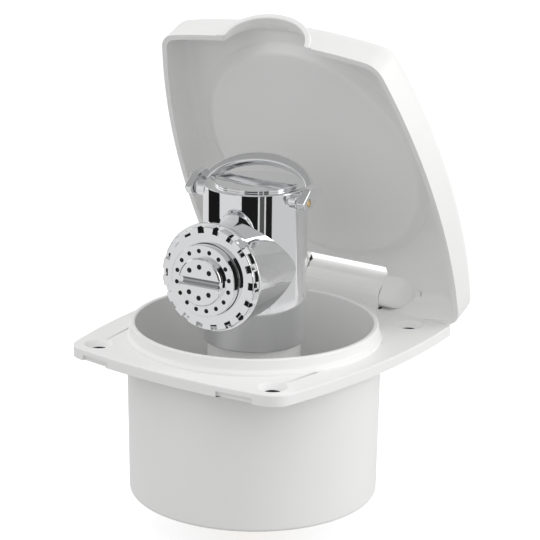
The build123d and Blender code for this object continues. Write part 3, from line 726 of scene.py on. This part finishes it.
def hinge_ear(side):
    """One hinge ear, drawn open: a long hump down the lid beside the hinge block, in (y, z)
    from the hinge. Its section eases from the full hump at x = 25.5 back into the lid's inner
    face at x = 36, with the share t^2 (3 - 2t)."""
    hump = np.array([(4.9, 8.2), (3.6, 6.9), (2.4, 5.75), (1.1, 4.5), (-0.2, 3.3), (-1.4, 2.2), (-2.4, 1.1),
                     (-3.3, -0.1), (-4.0, -1.5), (-4.35, -3.0), (-4.3, -4.6), (-3.6, -5.85), (-2.2, -6.55)])
    behind = np.array([(6.0, -6.6), (8.0, -3.0), (7.8, 2.0), (6.9, 5.0), (5.6, 7.6)])
    sunk = hump.copy()
    sunk[:, 0] = 2.0 + np.interp(-hump[:, 1], [-9, 0, 2.5, 4.7, 6.7], [2.3, 6.4, 6.3, 5.6, 3.2])
    full_until, fade = 25.5, 10.5
    stations = (20.6, 20.72, 21.0, 23.0, 25.0, 26.5, 28.0, 29.5, 31.0, 32.5, 34.0, 35.2, 36.0)
    rounding = {20.6: 0.25, 20.72: 0.07}
    rows = []
    for x in stations:
        t = min(max((x - full_until) / fade, 0.0), 1.0)
        front = hump + t * t * (3 - 2 * t) * (sunk - hump)
        front[:, 0] += rounding.get(x, 0.0)
        rows.append((x, np.concatenate([front, behind])))
    near, far = (0 * rows[0][1] + middle for middle in ((3.0, 3.0), (5.0, 3.0)))
    rows = [(stations[0], near), *rows, (stations[-1], far)]
    grid = [np.stack([side * x + 0 * yz[:, 0], HINGE_Y + yz[:, 0], HINGE_Z + yz[:, 1]], -1) for x, yz in rows]
    return np.array(grid), False, True, 0


def cut_slot(mesh, half, front):
    """Cuts the slot for the hinge block, in metres: everything between x = -half and half
    behind y = front goes, and the three cut faces are closed."""
    tol = 2e-6
    made = bmesh.new()
    made.from_mesh(mesh)
    for point, normal in (((half, 0, 0), (1, 0, 0)), ((-half, 0, 0), (1, 0, 0)), ((0, front, 0), (0, 1, 0))):
        every = [*made.verts, *made.edges, *made.faces]
        bmesh.ops.bisect_plane(made, geom=every, dist=1e-7, plane_co=point, plane_no=normal)
    gone = [f for f in made.faces if abs(f.calc_center_median().x) < half - 1e-6
            and f.calc_center_median().y > front + 1e-6]
    bmesh.ops.delete(made, geom=gone, context="FACES")
    open_edges = [e for e in made.edges if len(e.link_faces) == 1]

    def in_front(v):
        return abs(v.co.y - front) < tol

    def at_side(v, side):
        return abs(v.co.x - side * half) < tol

    bridges = []
    for side in (-1, 1):
        corners = {v for e in open_edges for v in e.verts if at_side(v, side) and in_front(v)}
        corners = sorted(corners, key=lambda v: v.co.z)
        bridges.append(made.edges.new((corners[0], corners[-1])))
    edges = [e for e in open_edges if all(in_front(v) for v in e.verts)]
    bmesh.ops.contextual_create(made, geom=edges + bridges)
    for side, bridge in zip((-1, 1), bridges):
        edges = [e for e in open_edges if all(at_side(v, side) for v in e.verts)]
        bmesh.ops.contextual_create(made, geom=[*edges, bridge])
    bmesh.ops.recalc_face_normals(made, faces=made.faces)
    made.to_mesh(mesh)
    made.free()
    mesh.update()


def in_metres(place):
    """A place given in mm, as a matrix for meshes in metres."""
    metres = place.copy()
    metres.translation = place.translation * MM
    return metres


def join(*meshes):
    """Several meshes as one."""
    made = bmesh.new()
    for mesh in meshes:
        made.from_mesh(mesh)
    made.to_mesh(meshes[0])
    made.free()
    meshes[0].update()
    return meshes[0]


def lid_outline(mouth_y):
    """The lid's outline with a point under each point that the mouth has at mouth_y: points,
    outward directions and the height of the rim."""
    mouth_x, lift = mouth_path(np.full(MOUTH_STEPS, mouth_y))
    p, n = four_arc_outline(
        half_x=65.9, side_r=270.0, side_y=24.6, front_y=-64.3, front_r=276.0, back_y=75.6, back_r=290.0,
        corner_front=9.0, corner_back=9.0, front_x=[-26.0, *mouth_x, 26.0])
    near_front = -64.0
    first = int(np.argmin(np.hypot(p[:, 0] - mouth_x[0], p[:, 1] - near_front)))
    rim = np.full(len(p), RIM_Z)
    rim[first:first + MOUTH_STEPS] += lift
    return p, n, rim


def skirt_columns(rim, top, inset, round_r):
    """Insets and heights of columns that run up a skirt from RIM_Z to its top and then round a
    quarter circle. Each is resampled from its lifted rim to its end, in the same shares."""
    quarter = np.radians(np.linspace(0, 90, 9))
    across = inset + np.concatenate([np.zeros(4), round_r * (1 - np.cos(quarter))])
    columns = []
    for rim_z, top_z in zip(rim, np.broadcast_to(top, len(rim))):
        skirt = RIM_Z + (top_z - RIM_Z) * np.array([0, 0.07, 0.5, 0.93])
        up = np.concatenate([skirt, top_z + round_r * np.sin(quarter)])
        along = np.concatenate([[0], np.cumsum(np.hypot(np.diff(across), np.diff(up)))])
        start = np.interp(rim_z, up, along)
        at = start + along / along[-1] * (along[-1] - start)
        columns.append((np.interp(at, along, across), np.interp(at, along, up)))
    return np.array(columns).transpose(1, 2, 0)


def lid():
    """Drawn closed, one column per point of the outline. Outside, inset and height follow the
    skirt, a quarter circle of 5.5 and the crown z = 20.63 - (x^2 + y^2) / 2895. Inside they
    follow the skirt, a quarter circle of 3.6, the plate, the land's slope and its dish
    z = 14.03 + 1.4 (1 - (r / 49.2)^2). Over the finger pull the rim rises with its mouth."""
    outer_round, inner_round, wall, plate_z = 5.5, 3.6, 2.3, 16.73
    disc_r, slope_r, land_r, dish_r, dish_z, dish_rise = 56.6, 54.3, 50.2, 49.2, 14.03, 1.4

    def crown(xy):
        return 20.63 - (xy ** 2).sum(-1) / 2895.0

    p, n, rim = lid_outline(-64.3)
    insets, heights = skirt_columns(rim, crown(p - outer_round * n) - outer_round, 0.0, outer_round)
    outside = [raised(p - i[:, None] * n, z) for i, z in zip(insets[::-1], heights[::-1])]
    p, n, rim = lid_outline(-61.2)
    insets, heights = skirt_columns(rim, plate_z - inner_round, wall, inner_round)
    inside = [raised(p - i[:, None] * n, z) for i, z in zip(insets, heights)]

    middle = np.array([0.0, 4.0])
    shoulder, plate = outside[0][:, :2], inside[-1][:, :2]
    roof = [middle + s * (shoulder - middle) for s in (0.0, 0.2, 0.4, 0.6, 0.8, 0.95, 0.99)]
    roof = [raised(xy, crown(xy)) for xy in roof]
    r = np.array([disc_r, slope_r, land_r, 47.0, *np.linspace(44.0, 0.0, 12)])
    z = np.where(r >= slope_r, plate_z, dish_z + dish_rise * (1 - np.clip(r / dish_r, 0, 1) ** 2))
    land = np.stack([r, z], -1)
    land = np.concatenate([soften(land[:5], 1.3, 5, 0.4)[:-1], land[4:]])
    bearing = np.arctan2(p[:, 1], p[:, 0])
    ray = np.stack([np.cos(bearing), np.sin(bearing)], -1)
    floor = [raised(plate + s * (disc_r * ray - plate), plate_z) for s in (0.04, 0.5)]
    floor += [raised(radius * ray, height) for radius, height in land]

    mesh = stitch("lid_shell", [(np.array(roof + outside + inside + floor), False, True, 0)])
    cut_slot(mesh, SLOT_HALF * MM, SLOT_FRONT * MM)
    mesh.transform(in_metres(LID_OPEN))
    pull = stitch("finger_pull", [pull_hood()], LID_OPEN)
    ears = stitch("lid_ears", [hinge_ear(1), hinge_ear(-1)])
    shell = finish_piece("lid_shell", join(mesh, pull, ears), "lid", smooth_deg=35.0)
    bevel = shell.modifiers.new("soft_rim", "BEVEL")
    bevel.width, bevel.segments = 0.45 * MM, 2
    bevel.limit_method, bevel.angle_limit = "ANGLE", math.radians(50)


box_body()
shower_body()
top_cap()
grip_ring()
spray_plate()
centre_plug()
bail_lever()
cam_shaft()
lid()

# The rest that shows is smoothed copies of the solids, with the hinge pin's ends inside the
# ears, in metres
PIN_END = 0.0265
for node in ("riser_tube", "floor_guide", "guide_nut", "hinge_pin", "hose_inlet",
             "pivot_washer_left", "pivot_washer_right"):
    skin = cad_copy(node + "_skin", node)
    if node == "hinge_pin":
        for corner in skin.vertices:
            corner.co.x = min(max(corner.co.x, -PIN_END), PIN_END)
    finish_piece(node + "_skin", skin, node, smooth_deg=22.0)

# Camera, fitted to the photo's ellipses: angles in degrees, distance in metres, and the photo's
# side, focal length and centre in pixels
AZIMUTH, ELEVATION, ROLL, DISTANCE = 35.74, 18.42, 0.58, 0.9
SIDE, FOCAL, CENTRE_X, CENTRE_Y = 540, 2176.5, 254.17, 345.29
SENSOR = 36.0
az, el, roll = math.radians(AZIMUTH), math.radians(ELEVATION), math.radians(ROLL)
back = Vector((math.sin(az) * math.cos(el), -math.cos(az) * math.cos(el), math.sin(el)))
right = Vector((math.cos(az), math.sin(az), 0.0))
up = back.cross(right)
right, up = (
    math.cos(roll) * right + math.sin(roll) * up,
    -math.sin(roll) * right + math.cos(roll) * up,
)
camera = bpy.data.objects.new("photo_camera", bpy.data.cameras.new("photo_camera"))
bpy.context.scene.collection.objects.link(camera)
camera.data.sensor_width = SENSOR
camera.data.lens = FOCAL / SIDE * SENSOR
camera.data.shift_x = (SIDE / 2 - CENTRE_X) / SIDE
camera.data.shift_y = (CENTRE_Y - SIDE / 2) / SIDE
camera.data.clip_start = 0.05
camera.data.clip_end = 20.0
camera.matrix_world = Matrix([(*axes, axes[2] * DISTANCE) for axes in zip(right, up, back)] + [(0, 0, 0, 1)])
bpy.context.scene.camera = camera
bpy.context.scene.view_settings.view_transform = "Standard"

# Stage, in metres
FLOOR_Z, FLOOR_REACH, CARD_R = -0.08, 6.0, 0.35


def stage_card(name, points, material, only_glossy=False):
    """A stage surface from a grid of points in metres."""
    nu, nv = points.shape[:2]
    mesh = bpy.data.meshes.new(name)
    mesh.from_pydata(points.reshape(-1, 3).tolist(), [], grid_quads(nu, nv).tolist())
    card = bpy.data.objects.new(name, mesh)
    bpy.context.scene.collection.objects.link(card)
    mesh.materials.append(material)
    if only_glossy:
        card.visible_camera = card.visible_diffuse = False
        card.visible_shadow = card.visible_transmission = False


def floor_material():
    """A pale floor that keeps a soft shadow and is white where nothing shades it."""
    made = Finish("studio_floor", (0.40, 0.40, 0.40), 0.9)
    seen = 0.775 * made.node("ShaderNodeLightPath", output=0)
    shown = seen + 0.33 * made.node("ShaderNodeLightPath", output=3)
    made.feed("Emission Color", made.node("ShaderNodeCombineXYZ", X=shown, Y=shown, Z=shown))
    made.shader.inputs["Emission Strength"].default_value = 1.0
    return made.material


def glow_material(name, level):
    """An even glow, for a card that only gloss sees."""
    made = Finish(name, (0, 0, 0), 1.0)
    made.shader.inputs["Specular IOR Level"].default_value = 0.0
    made.shader.inputs["Emission Color"].default_value = (level, level, level, 1)
    made.shader.inputs["Emission Strength"].default_value = 1.0
    return made.material


xx, yy = np.meshgrid([-FLOOR_REACH, FLOOR_REACH], [-FLOOR_REACH, FLOOR_REACH], indexing="ij")
stage_card("studio_floor", np.stack([xx, yy, FLOOR_Z + 0 * xx], -1), floor_material())

# Bent cards that only polished metal reflects: each runs between two bearings from the front
# towards +X, has a height above the floor and a glow
for number, (low, high, height, level) in enumerate((
    (-87, -47, 0.22, 0.010), (6, 41, 0.30, 0.012), (44.5, 54.5, 0.30, 0.09), (57.5, 71, 0.30, 0.015),
    (71, 135, 0.12, 0.64),
)):
    bearing = np.radians(np.linspace(low, high, 13))[:, None]
    z = FLOOR_Z + np.array([[0.0, height]])
    x, y = CARD_R * np.sin(bearing) + 0 * z, -CARD_R * np.cos(bearing) + 0 * z
    grid = np.stack([x, y, z + 0 * bearing], -1)
    stage_card("reflected_card_%d" % number, grid, glow_material("card_tone_%d" % number, level), True)

# World: white to the camera, even for matt surfaces, darker upwards in reflections
world = bpy.data.worlds.new("studio_air")
bpy.context.scene.world = world
world.use_nodes = True
air = world.node_tree
paths = air.nodes.new("ShaderNodeLightPath")
direction = air.nodes.new("ShaderNodeTexCoord")
parts = air.nodes.new("ShaderNodeSeparateXYZ")
air.links.new(direction.outputs["Generated"], parts.inputs[0])
height = air.nodes.new("ShaderNodeMapRange")
for socket, value in (("From Min", 0.05), ("From Max", 0.8), ("To Min", 0.85), ("To Max", 0.36)):
    height.inputs[socket].default_value = value
air.links.new(parts.outputs["Z"], height.inputs["Value"])
gloss_mix = air.nodes.new("ShaderNodeMix")
gloss_mix.inputs["A"].default_value = 0.90
air.links.new(height.outputs["Result"], gloss_mix.inputs["B"])
air.links.new(paths.outputs["Is Glossy Ray"], gloss_mix.inputs["Factor"])
seen_mix = air.nodes.new("ShaderNodeMix")
seen_mix.inputs["B"].default_value = 1.0
air.links.new(paths.outputs["Is Camera Ray"], seen_mix.inputs["Factor"])
air.links.new(gloss_mix.outputs["Result"], seen_mix.inputs["A"])
air.links.new(seen_mix.outputs["Result"], air.nodes["Background"].inputs["Strength"])
air.nodes["Background"].inputs["Color"].default_value = (1, 1, 1, 1)


def softbox(name, place, aim, size, power):
    """A rectangular area lamp looking at a point."""
    lamp = bpy.data.lights.new(name, "AREA")
    lamp.shape = "RECTANGLE"
    lamp.size, lamp.size_y = size
    lamp.energy = power
    holder = bpy.data.objects.new(name, lamp)
    bpy.context.scene.collection.objects.link(holder)
    holder.location = place
    holder.rotation_euler = (Vector(place) - Vector(aim)).to_track_quat("Z", "Y").to_euler()


softbox("front_top_box", (0.2, -0.9, 1.4), (0, 0, 0), (1.2, 1.0), 1.8)
softbox("right_back_box", (1.35, 0.75, 0.5), (0, 0, 0), (0.9, 1.1), 8.9)
softbox("left_box", (-1.4, -0.2, 0.4), (0, 0, 0), (0.9, 1.1), 2.0)
